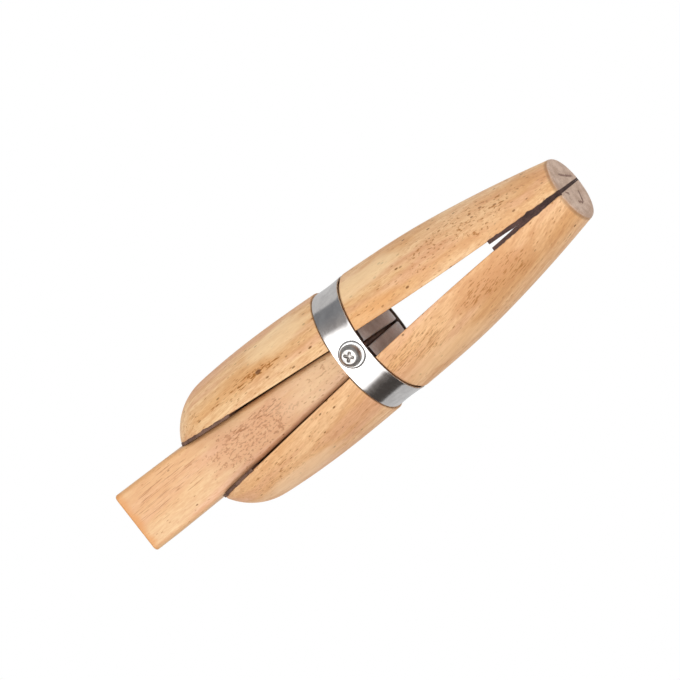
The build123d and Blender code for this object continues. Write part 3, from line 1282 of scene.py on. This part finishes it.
def makeBand():
    edge = band["edge"]
    inner = bandRadius - band["thickness"]
    rim = bandRadius + dish(bandHalf)
    flat = spread(-bandHalf + edge, bandHalf - edge, band["acrossSteps"])
    corner = [(bandHalf - past, rim - drop) for past, drop in quarterRound(edge, band["edgeRows"])[1:]]
    foot = inner + dish(bandHalf) + edge
    outline = [(x, bandRadius + dish(x)) for x in flat] + corner + [(bandHalf, foot)]
    outline += [(x, inner + dish(x)) for x in reversed(flat)] + [(-bandHalf, foot)]
    outline += [(-x, radius) for x, radius in reversed(corner)]
    loops = []
    for k in range(band["steps"]):
        angle = 2 * pi * k / band["steps"]
        loops.append([(x, r * sin(angle), r * cos(angle)) for x, r in outline])
    item = skin("waistBand", loops, plated["bandPlate"], ring=True, sharpDeg=70)

    def isInside(centre, normal):
        return hypot(centre.y, centre.z) < inner + band["insideDepth"]

    def isEdge(centre, normal):
        return abs(normal.x) > band["edgeFacing"] and not isInside(centre, normal)

    # painted shade on the band's inside
    refinish(item, plated["bandInsideShade"], isInside)
    refinish(item, plated["bandEdge"], isEdge)
    return item


seat(makeBand(), "ring", "band_plate", "band")

washers = dict(
    seat=bandRadius + 0.03,
    thickness=0.6,
    radius=4.15,
    holeRadius=1.9,
    holeEdge=0.06,
    flatStart=2.2,
    flatSteps=6,
    topInset=0.62,  # in from the rim, where the flat top ends
    topBevel=((0.5, 0.03), (0.34, 0.11), (0.18, 0.23), (0.05, 0.4)),  # in from the rim and down
    foot=((0, 0.12), (0.08, 0)),  # in from the rim and up
    underInset=0.3,
)
washerCrest = washers["seat"] + washers["thickness"]
turnSteps = 96


def ringLoop(radius, z):  # either may be a number or a rule for each angle
    loop = []
    for k in range(turnSteps):
        angle = 2 * pi * k / turnSteps
        reach = radius(angle) if callable(radius) else radius
        loop.append((reach * cos(angle), reach * sin(angle), z(angle) if callable(z) else z))
    return loop


def makeWasher(name, end):
    low, high = washers["seat"], washerCrest
    hole, edge, rim = washers["holeRadius"], washers["holeEdge"], washers["radius"]
    start, steps = washers["flatStart"], washers["flatSteps"]
    outline = [(hole, low), (hole, high - edge), (hole + edge, high)]
    outline += [(r, high) for r in spread(start, rim - washers["topInset"], steps)]
    outline += [(rim - inset, high - drop) for inset, drop in washers["topBevel"]]
    outline += [(rim - inset, low + rise) for inset, rise in washers["foot"]]
    outline += [(r, low) for r in reversed(spread(start, rim - washers["underInset"], steps))]
    loops = []
    for radius, crest in outline:
        loops.append([(x, y, end * sqrt(crest**2 - y * y)) for x, y, _ in ringLoop(radius, 0)])
    return skin(name, loops, plated["boltPlate"], ring=True, sharpDeg=50)


screw = dict(
    headRadius=3.3,
    headHeight=2.7,
    headFlat=2.05,
    headSide=0.9,
    headFoot=0.1,
    headBulge=0.16,
    bulgeUp=0.7,  # share of the bulge that also raises the head
    headRows=12,
    shankRadius=1.75,
    shankRows=8,
    shankBelow=1.0,  # how far under the band's outside the shank's painted brown shade begins
    threadDepth=0.22,
    threadPitch=0.6,
    threadRows=6,
    threadIntoNut=0.5,  # how far the thread runs past the nut
    endBeyondNut=1.0,
    endChamfer=0.3,
    endRing=0.6,
    wingReach=1.62,
    wingHalf=0.45,
    wingCorner=0.16,
    wingLimit=9,  # a wing is open at its end, so its reach stops here
    pointedBelow=0.9,  # where the recess's inner corners are no longer rounded
    recessDepth=1.6,
    recessTip=0.7,
    recessEdge=0.07,
    recessDraft=0.1,
    recessRows=(0.25, 0.5, 0.75, 0.95, 1.0),
    recessPoint=0.25,
    recessTurnDeg=45,
)

nut = dict(
    acrossFlats=6.0,
    height=2.8,
    boreChamfer=0.25,
    faceRings=(0.8, 0.97),
    cornerDeg=30,
    easing=0.05,
    easingDrop=0.06,
)
screwEnd = -washerCrest - nut["height"] - screw["endBeyondNut"]


leastSine = 1e-6  # keeps a wing's reach finite along its own axis


def crossReach(limit, shrink=0.0):  # outline of the cross recess, as a reach for each angle
    half = screw["wingHalf"] - shrink
    corner = screw["wingCorner"]
    turn = radians(screw["recessTurnDeg"])

    def reach(angle):
        wing = half / max(min(abs(sin(angle - turn)), abs(cos(angle - turn))), leastSine)
        if limit <= screw["pointedBelow"]:
            return min(wing, limit)
        wing = min(wing, screw["wingLimit"])
        return -corner * log(exp(-wing / corner) + exp(-limit / corner))

    return reach


def shankLoops():
    core = screw["shankRadius"] - screw["threadDepth"]
    chamfer = screw["endChamfer"]
    threadTop = -washerCrest + screw["threadIntoNut"]
    loops = [ringLoop(0, screwEnd), ringLoop(core * screw["endRing"], screwEnd)]
    loops += [ringLoop(core - chamfer, screwEnd), ringLoop(core, screwEnd + chamfer)]
    loops += [ringLoop(core, z) for z in spread(screwEnd + 2 * chamfer, threadTop, screw["threadRows"])]
    shank = spread(threadTop + chamfer, washerCrest, screw["shankRows"])
    return loops + [ringLoop(screw["shankRadius"], z) for z in shank]


def headLoops():
    r, foot, bulgeMost = screw["headRadius"], screw["headFoot"], screw["headBulge"]
    side = washerCrest + screw["headSide"]
    top = washerCrest + screw["headHeight"]
    loops = [ringLoop(r - foot, washerCrest), ringLoop(r, washerCrest + foot), ringLoop(r, side)]
    for share in spread(0, 1, screw["headRows"])[1:]:
        bulge = bulgeMost * sin(pi * share)
        z = side + (top - side) * share + bulge * screw["bulgeUp"]
        loops.append(ringLoop(r + (screw["headFlat"] - r) * share + bulge, z))
    return loops


def recessLoops(rimZ):
    edge, depth = screw["recessEdge"], screw["recessDepth"]
    loops = [ringLoop(crossReach(screw["wingReach"] + edge, -edge), rimZ)]
    loops.append(ringLoop(crossReach(screw["wingReach"]), rimZ - edge))
    for share in screw["recessRows"]:
        limit = screw["wingReach"] + (screw["recessTip"] - screw["wingReach"]) * share
        loops.append(ringLoop(crossReach(limit, screw["recessDraft"] * share), rimZ - depth * share))
    return loops + [ringLoop(0, rimZ - depth - screw["recessPoint"])]


def makeScrew():
    loops = shankLoops() + headLoops()
    loops += recessLoops(loops[-1][0][2])
    item = skin("pivotScrew", loops, plated["headPlate"], sharpDeg=45)
    below = bandRadius - screw["shankBelow"]
    # painted shade and reflection: the shank inside the band is brown
    refinish(item, plated["shankShade"], lambda centre, normal: abs(centre.z) < below)
    return item


def makeNut():
    flat = nut["acrossFlats"] / 2
    low, high = -washerCrest - nut["height"], -washerCrest
    bore, chamfer = screw["shankRadius"], nut["boreChamfer"]
    inner, outer = (flat * share for share in nut["faceRings"])

    def hexReach(angle):
        return flat / cos(angle % (pi / 3) - pi / 6)

    def eased(angle):
        return hexReach(angle) - nut["easing"]

    def corner(drop):  # the turned corners fall away from the face
        return lambda angle: (hexReach(angle) - outer) * tan(radians(nut["cornerDeg"])) + drop

    rows = [(bore, chamfer), (bore + chamfer, 0), (inner, 0), (outer, 0)]
    rows += [(eased, corner(0)), (hexReach, corner(nut["easingDrop"]))]

    def rowLoop(radius, depth, face, inwards):
        return ringLoop(radius, lambda angle: face + inwards * (depth(angle) if callable(depth) else depth))

    loops = [rowLoop(radius, depth, low, 1) for radius, depth in rows]
    loops.append(ringLoop(hexReach, (low + high) / 2))
    loops += [rowLoop(radius, depth, high, -1) for radius, depth in reversed(rows)]
    return skin("pivotNut", loops, plated["boltPlate"], ring=True, sharpDeg=28)


thread = dict(
    sink=0.02,  # how deep the ridge's foot lies in the core
    start=0.35,  # from the screw's end
    stepsPerTurn=40,
    sides=3,
)


def threadTree(values):  # a ridge wound round a core, and the identifiers of its inputs
    tree = bpy.data.node_groups.new("threadRidge", "GeometryNodeTree")
    tree.interface.new_socket("Geometry", in_out="OUTPUT", socket_type="NodeSocketGeometry")
    names = {}
    for label, value in values.items():
        kind = "NodeSocketFloat" if isinstance(value, float) else "NodeSocketMaterial"
        names[label] = tree.interface.new_socket(label, in_out="INPUT", socket_type=kind).identifier
    given = tree.nodes.new("NodeGroupInput").outputs
    spiral = put("GeometryNodeCurveSpiral", {
        "Resolution": thread["stepsPerTurn"],
        "Rotations": given["Turns"],
        "Start Radius": given["Core Radius"],
        "End Radius": given["Core Radius"],
        "Height": times(given["Pitch"], given["Turns"]),
    })
    inputs = {"Resolution": thread["sides"], "Radius": given["Ridge Height"]}
    outline = put("GeometryNodeCurvePrimitiveCircle", inputs)
    inputs = {"Curve": spiral.outputs[0], "Profile Curve": outline.outputs[0], "Fill Caps": True}
    sweep = put("GeometryNodeCurveToMesh", inputs)
    real = put("GeometryNodeRealizeInstances", {0: sweep.outputs[0]})
    inputs = {"Geometry": real.outputs[0], "Material": given["Finish"]}
    finish = put("GeometryNodeSetMaterial", inputs)
    put("NodeGroupOutput", {0: finish.outputs[0]})
    return tree, names


def makeThread():
    depth, pitch, sink = screw["threadDepth"], screw["threadPitch"], thread["sink"]
    values = {
        "Core Radius": (screw["shankRadius"] - depth - sink) * mm,
        "Ridge Height": (depth + sink) * mm,
        "Pitch": pitch * mm,
        "Turns": (nut["height"] + screw["endBeyondNut"]) / pitch,
        "Finish": plated["boltPlate"],
    }
    tree, names = threadTree(values)
    maker = addObject("threadMaker", bpy.data.meshes.new("threadMaker"))
    modifier = maker.modifiers.new("thread", "NODES")
    modifier.node_group = tree
    for label, value in values.items():
        modifier[names[label]] = value
    shown = maker.evaluated_get(bpy.context.evaluated_depsgraph_get())
    mesh = bpy.data.meshes.new_from_object(shown)
    maker.modifiers.remove(modifier)
    bpy.data.objects.remove(maker)
    mesh.transform(Matrix.Translation(pivot + Vector((0, 0, screwEnd + thread["start"])) * mm))
    mesh.name = "screwThread"
    return addObject("screwThread", mesh)


seat(makeWasher("headWasher", 1), "ring", "fastener_plate", "head_washer")
seat(makeWasher("nutWasher", -1), "ring", "fastener_plate", "nut_washer")
seat(makeScrew(), "ring", "fastener_plate", "pivot_screw")
seat(makeNut(), "ring", "fastener_plate", "pivot_nut")
ridge = makeThread()
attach(ridge, "ring")
print("band, screw, washers and nut fitted")

print("done")
